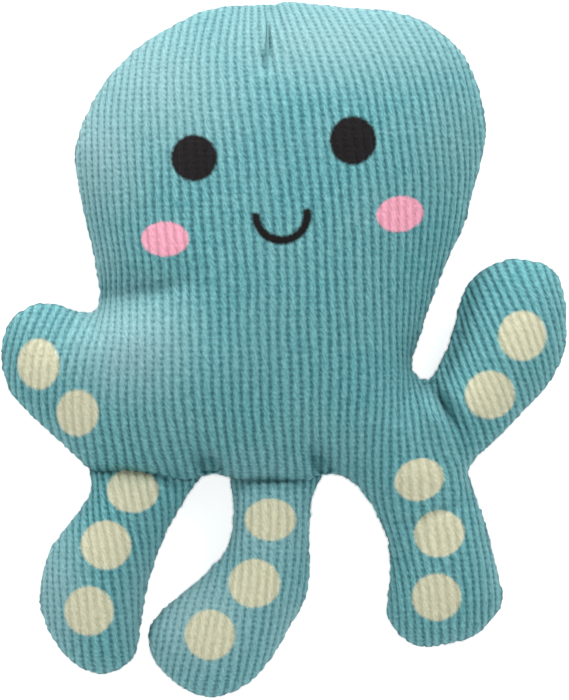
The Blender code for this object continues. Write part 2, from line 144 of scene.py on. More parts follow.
# Each fold or tuck is a line of (pixel x, pixel y, depth) and its half width.
# Each swell is its place and half sizes in pixels, and its height.
torso["frontFolds"] = [
    ([(86, 296, .0018), (112, 296, .0037), (140, 294, .0038), (168, 289, .0028), (192, 282, .002),
      (215, 270, 0)], .0085),
    ([(98, 297, .0014), (125, 296, .0026), (155, 292, .0022), (180, 286, .0012), (200, 278, 0)], .0028),
    ([(89, 314, .0016), (72, 325, .0016), (58, 343, .0006), (50, 360, 0)], .0018),
    ([(84, 309, .0008), (98, 330, .001), (108, 356, 0)], .0022),
    ([(214, 476, .007), (208, 462, .0104), (198, 445, .002)], .0036),
    ([(199, 463, .0014), (206, 457, .0034), (213, 459, .0044), (217, 466, .004),
      (213, 474, .002)], .0013),
    ([(204, 470, .002), (209, 464, .0026)], .0011),
    ([(329, 476, .0066), (321, 461, .01), (309, 442, .0016)], .0031),
    ([(312, 446, .0012), (317, 455, .0036), (324, 467, .0044), (328, 474, .0022)], .0013),
    ([(422, 379, .004), (433, 388, .0066), (444, 404, .0066), (453, 422, .005),
      (462, 444, .0022)], .0029),
    ([(424, 380, .002), (433, 388, .0034), (444, 405, .0034), (455, 426, .0012)], .001),
    ([(452, 404, .0006), (462, 420, .0016), (472, 438, .001)], .0012),
    ([(419, 386, -.0008), (426, 402, -.0024), (436, 422, -.0024), (446, 446, -.0006)], .0028),
    ([(411, 330, 0), (414, 366, .0016), (402, 396, .0016), (392, 430, 0)], .0085),
    ([(420, 381, .0008), (416, 398, .0012), (411, 424, 0)], .0011),
    ([(427, 386, .0004), (428, 404, .001), (431, 432, 0)], .0011),
    ([(413, 381, .0006), (402, 400, .001), (393, 428, 0)], .0012),
    ([(478, 420, .0016), (484, 434, .0014)], .0018),
    ([(452, 443, .001), (458, 454, .0018), (470, 458, .001)], .0018),
    ([(392, 524, .0006), (405, 524, .0014), (420, 520, .002), (438, 511, .002),
      (462, 503, .0006)], .002),
    ([(268, 0, .002), (268, 24, .0024), (267.5, 46, .0024), (267, 66, .0014), (267, 90, 0)], .004),
    ([(268.5, 2, .0014), (269.5, 20, .0014), (269, 36, .0018), (268, 50, .0034), (266.5, 62, .0038),
      (265, 73, 0)], .0009),
    ([(272, 8, .0006), (282, 27, .0011), (291, 52, 0)], .0012),
    ([(274, 30, .0004), (283, 56, .0009), (290, 82, 0)], .0012),
    ([(263, 22, .0004), (255, 44, .0007), (251, 66, 0)], .0012),
    ([(463, 292, .0024), (452, 335, .0046), (441, 368, .0036)], .005),
]
torso["frontSwells"] = [
    (138, 340, 42, 28, .0022), (190, 392, 66, 58, .005), (426, 408, 12, 22, .0014),
    (420, 478, 26, 18, .0012), (474, 400, 18, 26, .001), (289, 36, 14, 25, .0014),
    (249, 36, 14, 25, .0009), (267, 81, 6, 6, .0011),
]
torso["rimLifts"] = [
    ([(88, 468, -.0014), (110, 471, -.0022), (150, 474, -.0022), (186, 480, -.0016),
      (200, 478, 0)], .0062),
    ([(224, 476, 0), (238, 479, -.0014), (275, 482, -.002), (308, 479, -.0016),
      (322, 475, 0)], .0062),
]
torso["backFolds"] = [
    ([(268, 0, .0018), (268, 24, .002), (268, 56, 0)], .0028),
    ([(214, 474, .0034), (212, 462, .001)], .0034),
    ([(328, 476, .003), (322, 462, .001)], .0032),
    ([(426, 378, .0026), (438, 398, .0022), (450, 424, 0)], .0026),
    ([(89, 314, .002), (100, 330, .0016), (110, 350, 0)], .0026),
]
leftLeg["frontFolds"] = [
    ([(80, 462, .008), (130, 462, .01), (180, 466, .01), (206, 470, .008)], .0078),
    ([(152, 500, .0008), (168, 488, .0014), (196, 482, .0014)], .003),
]
middleLeg["frontFolds"] = [
    ([(224, 466, .008), (272, 469, .01), (326, 466, .008)], .0078),
]

# Where the ribs lean in the photograph: place, and how far to the right they go for each pixel down
leans = {
    "reach": 30,
    "squeezes": [(420, 394, 30, 24, .45)],  # where a tuck crowds the ribs, written like a swell
}
leans["places"] = [
    (150, 60, -.18), (185, 35, -.32), (225, 30, -.4), (255, 30, -.35), (220, 75, -.02), (255, 70, -.12),
    (283, 20, .7), (290, 45, .62), (300, 75, .38), (330, 25, .66), (335, 55, .5), (375, 30, .6),
    (380, 60, .38), (425, 45, .6), (440, 75, .34), (460, 100, .2), (120, 100, -.12), (170, 100, 0),
    (250, 105, .12), (300, 110, .18), (350, 105, .14), (410, 105, .2), (100, 150, 0), (150, 150, 0),
    (210, 145, .06), (290, 155, .14), (370, 150, .12), (430, 150, .16), (110, 205, .05), (170, 200, .02),
    (230, 200, .06), (290, 205, .16), (350, 205, .06), (420, 205, 0), (120, 250, .16), (200, 250, .14),
    (260, 250, .06), (330, 250, 0), (400, 250, 0), (435, 250, -.08), (120, 300, -.02), (200, 300, 0),
    (280, 300, .02), (360, 300, 0), (400, 310, 0), (110, 345, -.04), (160, 345, 0), (220, 345, .06),
    (290, 345, .05), (350, 345, 0), (395, 345, 0), (110, 385, 0), (180, 385, .02), (260, 385, .06),
    (330, 385, 0), (395, 385, .12), (110, 420, .06), (170, 420, .16), (230, 420, .1), (290, 420, .06),
    (350, 420, 0), (385, 402, -.2), (374, 436, -.22), (352, 436, -.12), (400, 436, -.18),
    (404, 405, -.14), (416, 405, .02), (430, 410, .42), (420, 424, .16), (434, 436, .36),
    (412, 452, -.02), (100, 455, 0), (140, 455, .2), (180, 455, .3), (215, 455, .22), (250, 455, .12),
    (290, 455, .18), (325, 455, .02), (370, 455, -.12), (398, 458, -.08), (20, 340, -.3),
    (45, 335, -.42), (72, 325, -.6), (20, 380, 0), (45, 380, -.05), (70, 380, -.16), (45, 420, .1),
    (75, 430, .22), (92, 460, .4), (438, 400, .46), (444, 425, .42), (460, 452, .46), (490, 290, .45),
    (475, 330, .4), (530, 300, .3), (550, 330, .24), (510, 350, .32), (480, 380, .4), (530, 380, .3),
    (495, 415, .34), (470, 440, .48), (370, 490, 0), (420, 490, .1), (455, 490, .22), (400, 530, .28),
    (440, 530, .26), (475, 530, .04), (400, 575, .3), (430, 575, .22), (470, 575, .05), (400, 615, .14),
    (440, 615, .05), (480, 615, -.05), (110, 500, .04), (150, 500, .14), (180, 495, .14), (70, 545, 0),
    (105, 540, .1), (145, 545, .2), (60, 600, 0), (90, 600, .1), (125, 600, .1), (80, 650, .08),
    (115, 650, .16), (250, 500, 0), (290, 500, -.02), (245, 550, 0), (285, 550, -.1), (200, 600, -.25),
    (235, 600, -.15), (280, 600, -.16), (175, 640, -.2), (215, 645, -.2), (260, 640, -.18),
]

ribs = {
    "pitch": .00332,
    "height": .00055,
    "roundness": 1.9,  # higher is a flatter ridge with a narrower groove
    "pitPitch": .00210,
    "pitDepth": .00014,
    "rowDepth": .00003,  # how much the knit's rows notch the ridges
    "samples": 8,  # mesh columns to a rib
    "scans": 30,  # places looked at for each pitch along a row
    "clear": 0.6,  # columns left free beside the rim's loops
    "rowStep": .00055,
    "wander": .10,  # how far a rib strays, as a share of the pitch
    "strays": ((1, 0.7, 7, 3), (0.5, 1.3, 3, 4)),  # share, scales across and along, and seed
    "pitWander": 0.25,
    "uneven": 0.18,  # how much one rib's height differs from the next
    "unevenScale": (1.7, 5),
    "sink": 0.6,  # the share of a ridge that lies under the form
    "rimSink": 0.5,
    "pile": (4, 0.9),  # tufts across a rib and along a pit
    "fuzz": .00008,
}
rim = {
    "depth": .0020,
    "loops": 8,
    "step": .00040,
    "denser": 4,  # times as many points, to measure distances from
    "seamFade": .0012,
    "ribFade": 3,  # times as far for the ribs
    "ragged": .00026,
    "tufts": ((0.6, .0014, 11), (1, .0008, 12)),  # share, size and seed
    "kept": 0.93,  # least share of its depth that a moved loop's point keeps
    "within": 0.99,  # how sure a row's point is to be inside
}
seeds = {"uneven": 5, "pits": 6, "pile": 7, "fringe": (21, 22, 23)}
fringe = {"each": 5, "short": .0003, "long": .0012, "width": .00009, "lift": 1.4, "stray": 2}
grid = {"fine": .0005, "coarse": .001, "margin": .004}
form = {
    "spans": 12,  # steps between two points of an outline
    "rounds": 1500,  # the most that a membrane is solved for
    "slopeRounds": 1200,  # and the ribs' field
    "still": 1e-16,  # share of the start at which a solution stands
    "least": 1e-30,  # keeps its quotients finite
    "widthScale": 1.22,
    "rimBand": .0016,  # nearer the rim than this the grid is too coarse to trust
    "carry": 16,  # grid steps that the form is carried outward
    "slopeCarry": 3,
    "ribCarry": 6,
    "blend": (.002, .005),  # from the rim's own profile to the grid's
    "foldFade": .0025,  # folds run out this near the rim
    "leastShare": 0.25,  # what the deepest fold leaves of the height
    "hangStart": .004,  # how softly a limb starts to hang
    "floorRound": .0015,  # how softly the back meets the floor
    "steepest": 4,
}
floorGap = .0004
tiny = 1e-6  # keeps a division from zero, and is the tolerance of the triangles in millimetres
tinier = 1e-9
around = ((0, 1), (0, -1), (1, 1), (1, -1))  # axis and shift of a grid point's neighbours


def smoothLoop(points, step):
    # A closed curve through all the points, resampled to even steps
    points = toWorld(points)
    count = len(points)
    dense = []
    for i in range(count):
        p = [points[(i + k - 1) % count] for k in range(4)]
        for t in np.linspace(0, 1, form["spans"], endpoint=False):
            bend = (2 * p[0] - 5 * p[1] + 4 * p[2] - p[3]) * t ** 2
            twist = (3 * p[1] - p[0] - 3 * p[2] + p[3]) * t ** 3
            dense.append(0.5 * (2 * p[1] + (p[2] - p[0]) * t + bend + twist))
    dense = np.array(dense + dense[:1])
    run = np.concatenate([[0], np.cumsum(np.linalg.norm(np.diff(dense, axis=0), axis=1))])
    at = np.linspace(0, run[-1], int(round(run[-1] / step)), endpoint=False)
    return np.stack([np.interp(at, run, dense[:, 0]), np.interp(at, run, dense[:, 1])], 1)


def insideOf(loop, points):
    inside = np.zeros(len(points), bool)
    after = np.roll(loop, -1, axis=0)
    for (x0, y0), (x1, y1) in zip(loop[::2], after[1::2]):
        crosses = (y0 > points[:, 1]) != (y1 > points[:, 1])
        if crosses.any():
            at = points[crosses]
            inside[crosses] ^= at[:, 0] < (x1 - x0) * (at[:, 1] - y0) / (y1 - y0) + x0
    return inside


def distanceTo(loop, points):
    tree = kdtree.KDTree(len(loop))
    for index, (x, y) in enumerate(loop):
        tree.insert((x, y, 0), index)
    tree.balance()
    return np.array([tree.find((x, y, 0))[2] for x, y in points])


def makeGrid(loop, step):
    low = loop.min(0) - grid["margin"]
    size = np.ceil((loop.max(0) + grid["margin"] - low) / step).astype(int)
    x, y = np.meshgrid(*(low[k] + np.arange(size[k]) * step for k in range(2)))
    return {"low": low, "step": step}, np.stack([x.ravel(), y.ravel()], 1), x.shape


def sample(g, values, points):
    # Bilinear
    at = (points - g["low"]) / g["step"]
    i = np.clip(at.astype(int), 0, np.array(values.shape)[::-1] - 2)
    f = at - i
    x, y = i[:, 0], i[:, 1]
    top = values[y, x] * (1 - f[:, 0]) + values[y, x + 1] * f[:, 0]
    low = values[y + 1, x] * (1 - f[:, 0]) + values[y + 1, x + 1] * f[:, 0]
    return top * (1 - f[:, 1]) + low * f[:, 1]


def spreadOut(values, known, rounds):
    # Carries known values outward over their edge
    values = np.where(known, values, 0.0)
    known = known.astype(float)
    for _ in range(rounds):
        total, count = np.zeros_like(values), np.zeros_like(values)
        for axis, shift in around:
            total += np.roll(values * known, shift, axis)
            count += np.roll(known, shift, axis)
        fresh = (known == 0) & (count > 0)
        values[fresh] = total[fresh] / count[fresh]
        known[fresh] = 1.0
    return values


def solve(apply, right, rounds):
    # Conjugate gradients
    x = np.zeros(right.shape)
    r, p = right.copy(), right.copy()
    size = (r * r).sum()
    for _ in range(rounds):
        ap = apply(p)
        a = size / max((p * ap).sum(), form["least"])
        x += a * p
        r -= a * ap
        new = (r * r).sum()
        if new < form["still"] * max((right * right).sum(), form["least"]):
            break
        p = r + new / size * p
        size = new
    return x


def swellOf(inside, step):
    # A membrane's rise over the outline, and that of a second one, which shows how wide the form is
    def apply(v):
        out = 4 * v
        for axis, shift in around:
            out -= np.roll(v, shift, axis)
        return out * inside

    load = 2 * step ** 2 * inside
    rise = solve(apply, load, form["rounds"])
    return rise, solve(apply, load * rise, form["rounds"])


def fitSlopes(inside, alongX, alongY, step):
    # The field whose slopes come nearest to the wanted ones inside the outline
    linkX = inside[:, 1:] & inside[:, :-1]
    linkY = inside[1:] & inside[:-1]
    wantX = (alongX[:, 1:] + alongX[:, :-1]) / 2 * step
    wantY = (alongY[1:] + alongY[:-1]) / 2 * step

    def gather(dx, dy):
        out = np.zeros(inside.shape)
        out[:, 1:] += dx * linkX
        out[:, :-1] -= dx * linkX
        out[1:] += dy * linkY
        out[:-1] -= dy * linkY
        return out

    def apply(v):
        return gather(v[:, 1:] - v[:, :-1], v[1:] - v[:-1])

    return solve(apply, gather(wantX, wantY), form["slopeRounds"])


primes = (374761393, 668265263, 974634777, 1274126177)
word = 0xFFFFFFFF


def hashed(ix, iy, seed):
    # The same number from 0 to 1 for the same place and seed
    h = (ix.astype(np.int64) * primes[0] + iy.astype(np.int64) * primes[1] + seed * primes[2]) & word
    h = ((h ^ (h >> 13)) * primes[3]) & word
    return (h ^ (h >> 16)) / word


def softNoise(x, y, seed):
    # From -1 to 1, one bump to a unit
    ix, iy = np.floor(x), np.floor(y)
    fx, fy = x - ix, y - iy
    fx, fy = fx * fx * (3 - 2 * fx), fy * fy * (3 - 2 * fy)
    low = hashed(ix, iy, seed) * (1 - fx) + hashed(ix + 1, iy, seed) * fx
    top = hashed(ix, iy + 1, seed) * (1 - fx) + hashed(ix + 1, iy + 1, seed) * fx
    return 2 * (low * (1 - fy) + top * fy) - 1


def smoothStep(x, low, high):
    t = np.clip((x - low) / (high - low), 0, 1)
    return t * t * (3 - 2 * t)


def limbAxis(limb):
    # The hinge's place in plan, and the way to the limb's tip
    joint = joints[limb]
    at, axis = np.array(joint["pos_m"][:2]), np.array(joint["axis"][:2])
    axis /= np.linalg.norm(axis)
    return at, np.array([-axis[1], axis[0]])


def droopOf(limb):
    at, out = limbAxis(limb)
    node = frame["nodes"][limb + "_front_panel"]
    places = np.array([vertex.co for vertex in node.data.vertices])
    lowest = places[places[:, 2].argmin()]
    return (seamHeight - lowest[2]) / max((lowest[:2] - at) @ out, tiny)


droops = {limb: droopOf(limb) for limb in joints}
print("droops:", droops)


def beyondRoot(limb, points):
    at, out = limbAxis(limb)
    return (points - at) @ out


parting = {
    "armpit": (424, 373),  # pixels
    "armpitLean": 0.28,  # the gap above it runs this far right for each pixel up
    "leftArmTop": 294,
    "rightLegLeft": 334,
    "lead": .001,  # a limb's fabric starts this far ahead of its bend
    "legFirst": .004,  # and the right leg's goes before the arm's from here
}


def isAtRightArm(points):
    at = toPixels(points)
    x, y = parting["armpit"]
    return at[:, 0] > x + np.maximum(y - at[:, 1], 0) * parting["armpitLean"]


def isAtLeftArm(points):
    return toPixels(points)[:, 1] > parting["leftArmTop"]


armSides = {"right_arm": isAtRightArm, "left_arm": isAtLeftArm}


def seamOf(points, limbs):
    # The seam's height: level in the body, and hanging a little in each limb
    height = np.full(len(points), seamHeight)
    for limb in limbs:
        reach = beyondRoot(limb, points)
        if limb in armSides:
            reach = np.where(armSides[limb](points), reach, -1)
        soft = form["hangStart"]
        reach = np.where(reach > soft, reach - soft / 2, np.maximum(reach, 0) ** 2 / (2 * soft))
        height -= reach * droops[limb]
    return height


def foldsAt(points, folds, swells):
    lift = np.zeros(len(points))
    at = toPixels(points)
    for line, halfWidth in folds:
        line = np.array(line, float)
        spots = toWorld(line[:, :2])
        best, depth = np.full(len(points), np.inf), np.zeros(len(points))
        for a, b, da, db in zip(spots, spots[1:], line[:, 2], line[1:, 2]):
            t = np.clip((points - a) @ (b - a) / ((b - a) @ (b - a)), 0, 1)
            away = np.linalg.norm(points - a - t[:, None] * (b - a), axis=1)
            nearer = away < best
            best = np.where(nearer, away, best)
            depth = np.where(nearer, da + (db - da) * t, depth)
        lift -= depth * np.exp(-(best / halfWidth) ** 2)
    for x, y, halfX, halfY, height in swells:
        off = (at - (x, y)) / (halfX, halfY)
        lift += height * np.exp(-(off ** 2).sum(1))
    return lift


def leanAt(points):
    # The lean at each point, from the places near it
    at = toPixels(points)
    total, weight = np.zeros(len(points)), np.full(len(points), tiny)
    for x, y, lean in leans["places"]:
        near = np.exp(-((at[:, 0] - x) ** 2 + (at[:, 1] - y) ** 2) / leans["reach"] ** 2)
        total += near * lean
        weight += near
    return total / weight


def rimWays(loop):
    # One unit along the rim, and one out of it
    ahead = np.roll(loop, -1, axis=0) - np.roll(loop, 1, axis=0)
    ahead /= np.linalg.norm(ahead, axis=1)[:, None]
    return ahead, np.stack([ahead[:, 1], -ahead[:, 0]], 1)


def makeSurface(cut, limbs):
    # What front and back share: the outline, the swell and the distance from the rim
    loop = smoothLoop(cut["outline"], rim["step"])
    dense = smoothLoop(cut["outline"], rim["step"] / rim["denser"])
    run = np.arange(len(loop)) * rim["step"]
    tufts = sum(share * softNoise(run / size, run * 0, seed) for share, size, seed in rim["tufts"])
    loop = loop + rimWays(loop)[1] * tufts[:, None] * rim["ragged"]
    g, points, shape = makeGrid(loop, grid["fine"])
    inside = insideOf(loop, points).reshape(shape)
    away = distanceTo(dense, points).reshape(shape)
    swell, again = swellOf(inside, grid["fine"])
    known = inside & (away > form["rimBand"])
    ratio = spreadOut(swell / np.maximum(away, tiny), known, form["carry"])
    width = np.sqrt(again / np.maximum(swell, tinier) * form["widthScale"])
    width = spreadOut(width, known, form["carry"])
    return dict(cut=cut, limbs=limbs, loop=loop, dense=dense, grid=g, inside=inside,
                away=away, swell=swell, ratio=ratio, width=width)


def heightOver(surface, points, away, side):
    # Height above the seam, or depth below it
    near = away * sample(surface["grid"], surface["ratio"], points)
    far = sample(surface["grid"], surface["swell"], points)
    mix = smoothStep(away, *form["blend"])
    swell = np.maximum(near * (1 - mix) + far * mix, 0)
    width = np.maximum(sample(surface["grid"], surface["width"], points), tiny)
    cut = surface["cut"]
    return (width * cut[side + "Rise"] / (1 + width / cut[side + "Ease"])
            * (swell / width ** 2) ** cut["point"])


def formAt(surface, points, away, side):
    cut = surface["cut"]
    seam = seamOf(points, surface["limbs"]) + foldsAt(points, cut.get("rimLifts", []), [])
    height = heightOver(surface, points, away, side)
    shift = foldsAt(points, cut.get(side + "Folds", []), cut.get(side + "Swells", []))
    folded = height + shift * smoothStep(away, 0, form["foldFade"])
    height = np.maximum(folded, height * form["leastShare"])
    if side == "front":
        return seam + height
    low = seam - height - floorGap
    soft = form["floorRound"]
    return floorGap + np.where(low > soft, low, soft * np.exp(np.minimum(low / soft - 1, 0)))


def ribField(surface, side):
    # Which rib, and how far along it, on a coarse grid
    g, points, shape = makeGrid(surface["loop"], grid["coarse"])
    inside = insideOf(surface["loop"], points)
    away = sample(surface["grid"], surface["away"], points)
    height = (heightOver(surface, points, np.where(inside, away, 0), side) * inside).reshape(shape)
    inside = inside.reshape(shape)
    slopeY, slopeX = np.gradient(spreadOut(height, inside, form["slopeCarry"]), grid["coarse"])
    slopeX, slopeY = (np.clip(slope, -form["steepest"], form["steepest"]) for slope in (slopeX, slopeY))
    lean, across = 0, np.sqrt(1 + slopeX ** 2) / ribs["pitch"]
    if side == "front":
        lean = leanAt(points).reshape(shape)
        across *= 1 + foldsAt(points, [], leans["squeezes"]).reshape(shape)
    rib = fitSlopes(inside, across, lean * across, grid["coarse"])
    pit = fitSlopes(inside, np.zeros(shape), np.sqrt(1 + slopeY ** 2) / ribs["pitPitch"], grid["coarse"])
    return g, spreadOut(rib, inside, form["ribCarry"]), spreadOut(pit, inside, form["ribCarry"])


def panelPoints(surface, g, rib):
    # Rim loops first, then rows whose points follow the ribs
    loop = surface["loop"]
    outward = rimWays(loop)[1]
    places, depths = [loop], [np.zeros(len(loop))]
    for k in range(1, rim["loops"] + 1):
        depth = rim["depth"] * (k / rim["loops"]) ** 2
        moved = loop - outward * depth
        kept = moved[distanceTo(surface["dense"], moved) > depth * rim["kept"]]
        places.append(kept)
        depths.append(np.full(len(kept), depth))
    least = rim["depth"] + ribs["pitch"] / ribs["samples"] * ribs["clear"]
    for y in np.arange(loop[:, 1].min(), loop[:, 1].max(), ribs["rowStep"]):
        xs = np.arange(loop[:, 0].min(), loop[:, 0].max(), ribs["pitch"] / ribs["scans"])
        row = np.stack([xs, np.full(len(xs), y)], 1)
        away = sample(surface["grid"], surface["away"], row)
        within = sample(surface["grid"], surface["inside"].astype(float), row) > rim["within"]
        held = within & (away > least)
        edges = np.flatnonzero(np.diff(np.concatenate([[0], held.astype(int), [0]])))
        for first, last in zip(edges[::2], edges[1::2]):
            if last - first < 2:  # too short to hold a column
                continue
            run = row[first:last]
            count = np.maximum.accumulate(sample(g, rib, run)) * ribs["samples"]
            wanted = np.arange(math.ceil(count[0]), math.floor(count[-1]) + 1)
            x = np.interp(wanted, count + np.arange(len(count)) * tinier, run[:, 0])
            places.append(np.stack([x, np.full(len(x), y)], 1))
            depths.append(np.full(len(x), -1.0))
    places, depths = np.concatenate(places), np.concatenate(depths)
    free = depths < 0
    depths[free] = distanceTo(surface["dense"], places[free])
    return places, depths


def vertexNormals(places, faces):
    a, b, c = (places[faces[:, k]] for k in range(3))
    face = np.cross(b - a, c - a)
    normals = np.zeros_like(places)
    for k in range(3):
        for axis in range(3):
            normals[:, axis] += np.bincount(faces[:, k], face[:, axis], len(places))
    return normals / np.maximum(np.linalg.norm(normals, axis=1), tiny ** 2)[:, None]


def wandering(rib, pit):
    # Ribs that stray a little, as knitted ones do
    strays = (share * softNoise(rib * across, pit / along, seed)
              for share, across, along, seed in ribs["strays"])
    return rib + ribs["wander"] * sum(strays)


def ribRelief(phase, pit):
    # Ridges with pitted grooves between them, and short pile
    t = np.abs(2 * (phase - np.floor(phase)) - 1)
    ridge = 1 - t ** ribs["roundness"]
    across, along = ribs["unevenScale"]
    fullness = 1 + ribs["uneven"] * softNoise(np.floor(phase) * across, pit / along, seeds["uneven"])
    row = 0.5 + 0.5 * np.cos(2 * np.pi * pit)
    across, along = ribs["pile"]
    pile = softNoise(phase * across + pit * along, pit * along, seeds["pile"])
    return (ribs["height"] * (ridge * fullness - ribs["sink"]) - ribs["pitDepth"] * (1 - ridge) * row
            - ribs["rowDepth"] * row + ribs["fuzz"] * pile)


def addFringe(panel, loop):
    # Single fibres that stand out past the rim
    count = len(loop) * fringe["each"]
    pick = np.arange(count) // fringe["each"]
    chance = [hashed(np.arange(count), np.zeros(count), seed) for seed in seeds["fringe"]]
    ahead, outward = (way[pick] for way in rimWays(loop))
    along = np.column_stack([ahead, np.zeros(count)])
    way = np.column_stack([outward, (chance[0] - 0.5) * fringe["lift"]])
    way += along * (chance[1] - 0.5)[:, None] * fringe["stray"]
    way /= np.linalg.norm(way, axis=1)[:, None]
    root = panel["places"][pick] - way * fringe["short"]
    length = fringe["short"] * 2 + (fringe["long"] - fringe["short"]) * chance[2] ** 2
    half = along * fringe["width"] / 2
    first = len(panel["places"]) + np.arange(count)
    fresh = {"places": np.concatenate([root - half, root + half, root + way * length[:, None]]),
             "faces": np.stack([first, first + count, first + 2 * count], 1)}
    for key in ("normals", "flat", "plan", "ribs"):
        fresh[key] = np.tile(panel[key][pick], (3, 1))
    return {key: np.concatenate([panel[key], fresh[key]]) for key in panel}


def makePanel(surface, side):
    g, rib, pit = ribField(surface, side)
    flat, away = panelPoints(surface, g, rib)
    rimCount = len(surface["loop"])
    edges = [(i, (i + 1) % rimCount) for i in range(rimCount)]
    inMillimetres = [Vector(place) for place in (flat * 1000).tolist()]
    made = delaunay_2d_cdt(inMillimetres, edges, [], 1, tiny)
    source = np.array([origin[0] for origin in made[3]])
    faces = source[np.array(made[2])]
    corners = flat[faces]
    turn = np.cross(corners[:, 1] - corners[:, 0], corners[:, 2] - corners[:, 0])
    faces = np.where((turn > 0)[:, None] == (side == "front"), faces, faces[:, ::-1])
    places = np.column_stack([flat, formAt(surface, flat, away, side)])
    normals = vertexNormals(places, faces)
    pitAt = sample(g, pit, flat)
    ribAt = wandering(sample(g, rib, flat), pitAt)
    pitAt = pitAt + ribs["pitWander"] * softNoise(ribAt, pitAt / 2, seeds["pits"])
    height = heightOver(surface, flat, away, side)
    relief = ribRelief(ribAt, pitAt) * smoothStep(height, 0, rim["seamFade"] * rim["ribFade"])
    relief -= ribs["height"] * ribs["rimSink"] * (1 - smoothStep(height, 0, rim["seamFade"]))
    relief[away <= 0] = 0
    places = places + normals * relief[:, None]
    if side == "back":
        places[:, 2] = np.maximum(places[:, 2], floorGap / 2)
    normals = vertexNormals(places, faces)
    print(f"panel {side}: {len(places)} points, {len(faces)} faces")
    spread = studio["cameraHeight"] / (studio["cameraHeight"] + seamHeight - places[:, 2])
    seen = photoMiddle + (toPixels(places[:, :2]) - photoMiddle) * spread[:, None]
    panel = {"places": places, "normals": normals, "faces": faces, "flat": flat,
             "plan": seen / photo["height"], "ribs": np.stack([ribAt, pitAt], 1)}
    return addFringe(panel, surface["loop"]) if side == "front" else panel


def addObject(name, data):
    thing = bpy.data.objects.new(name, data)
    bpy.context.scene.collection.objects.link(thing)
    return thing


def addFabric(name, panel, chosen, material):
    # One object from some of a panel's faces, with the whole panel's normals
    faces = panel["faces"][chosen]
    used, index = np.unique(faces, return_inverse=True)
    index = index.reshape(faces.shape)
    mesh = bpy.data.meshes.new(name)
    mesh.from_pydata(panel["places"][used].tolist(), [], index.tolist())
    mesh.validate()
    for layer, values in (("plan", panel["plan"][used]), ("ribs", panel["ribs"][used])):
        uv = mesh.uv_layers.new(name=layer)
        uv.uv.foreach_set("vector", values[index.ravel()].astype(np.float32).ravel())
    mesh.shade_smooth()
    mesh.normals_split_custom_set_from_vertices(panel["normals"][used].tolist())
    mesh.materials.append(material)
    return addObject(name, mesh)


plush = {
    "root": (0.078, 0.318, 0.348, 1),
    "tip": (0.208, 0.520, 0.540, 1),
    "paleTipsAndHighlight": (0.48, 0.60, 0.62, 1),  # the pile's pale tips, used for random wear and for painted highlight and painted sheen
    "paintedHighlightAt": [  # painted highlight: place and half sizes in pixels, and share
        (150, 75, 95, 75, .36), (330, 35, 150, 45, .36), (95, 140, 50, 70, .40),
        (128, 342, 62, 52, .38), (42, 324, 44, 22, .12), (196, 614, 60, 56, .42),
        (262, 530, 54, 60, .30), (55, 590, 30, 60, .32), (500, 560, 30, 80, .14),
        (452, 130, 40, 64, .14), (284, 625, 36, 60, .24), (100, 262, 26, 40, .20),
    ],
    "paintedShadeAt": [  # painted shade: place and half sizes in pixels, and share
        (378, 425, 52, 60, .30), (176, 515, 30, 40, .32), (132, 610, 24, 60, .32),
        (482, 570, 26, 60, .20), (262, 348, 50, 60, .24), (292, 140, 46, 40, .20),
        (330, 445, 40, 30, .16), (430, 235, 30, 40, .20),
    ],
    "wear": {"scale": 9.0, "detail": 3.0, "range": (0.25, 0.75), "most": 0.10},
    "streaks": (0.34, 0.66),  # from the root's colour to the tip's
    "groove": (0.44, 0.57, 0.61, 1),  # what the grooves leave of the colour: painted shade in the recess, partly the pile's own darker colour there
    "litGrooveFade": -1.9,  # how much the painted highlight lightens the grooves' painted shade
    "litPitShare": 2.6,
    "hairs": [(0.80, 0.84, 0.85, 1), (1.17, 1.14, 1.13, 1)],
    # painted shade in the pits
    "pit": (0.70, 0.74, 0.75, 1),
    "litPit": (0.46, 0.67, 0.71, 1),  # a pit's painted shade, lighter under the painted highlight
    "rimSheen": 0.45,  # painted sheen: how pale the colour turns where the surface turns away from the view
    "rimSheenStart": 0.70,
    # painted shade where the knit's rows notch the ridges
    "row": (0.95, 0.96, 0.96, 1),
    "sockets": {"Roughness": 0.62, "Specular IOR Level": 0.22, "Sheen Weight": 0.14,
                "Sheen Roughness": 0.35, "Sheen Tint": (0.80, 0.98, 1.0, 1)},
    "bump": {"Strength": 0.7, "Distance": 0.0008},
}
prints = {
    "cream": (0.700, 0.692, 0.510, 1),
    "pink": (0.980, 0.425, 0.575, 1),
    "dark": (0.0024, 0.0010, 0.0018, 1),
    "edge": 2.0,  # how soft a print's edge is, in pixels
    "stray": 4.0,  # how far the pile carries it off
    "strayNoise": (240.0, 3.0),  # scale and detail
    "groove": (0.84, 0.84, 0.80, 1),  # how the weave shades the light inks
    "streaks": [(0.88, 0.88, 0.86, 1), (1.08, 1.08, 1.08, 1)],
    "hairs": [(0.90, 0.90, 0.88, 1), (1.07, 1.07, 1.07, 1)],
    "darkHairs": [(0.2, 0.2, 0.2, 1), (2.6, 2.6, 2.6, 1)],
    "spots": {  # place, half sizes and tilt
        "left_arm": [(38.5, 364, 20.8, 25.3, 0), (77.6, 413, 21, 23.2, 0)],
        "left_leg": [(132.7, 490.5, 26, 22, 0), (106, 545, 25.2, 24.4, 0), (89, 611, 24.6, 24.6, 0)],
        "middle_leg": [(270.4, 519.6, 25.8, 21, 0), (254.4, 583.4, 25.8, 24.3, 0),
                       (210, 635, 25, 25.2, 0)],
        "right_leg": [(419.4, 479.6, 25, 21, 20), (439.3, 533.7, 25.3, 23.2, 15),
                      (436.6, 597.2, 24.6, 23.6, 0)],
        "right_arm": [(490, 394.8, 25, 24, 0), (522.4, 335.8, 24.1, 25, 0)],
    },
    "eyes": [(194, 158, 23.3, 23.3, 0), (353, 140.5, 23.5, 24.4, 0)],
    "cheeks": [(165, 239, 23.6, 17.4, 0), (400, 214, 23.6, 17.8, 9)],
    "smile": {"centre": (281.6, 214.5), "radius": 25.8, "stroke": 4.3, "tilt": 5, "farOff": 1000.0},
}


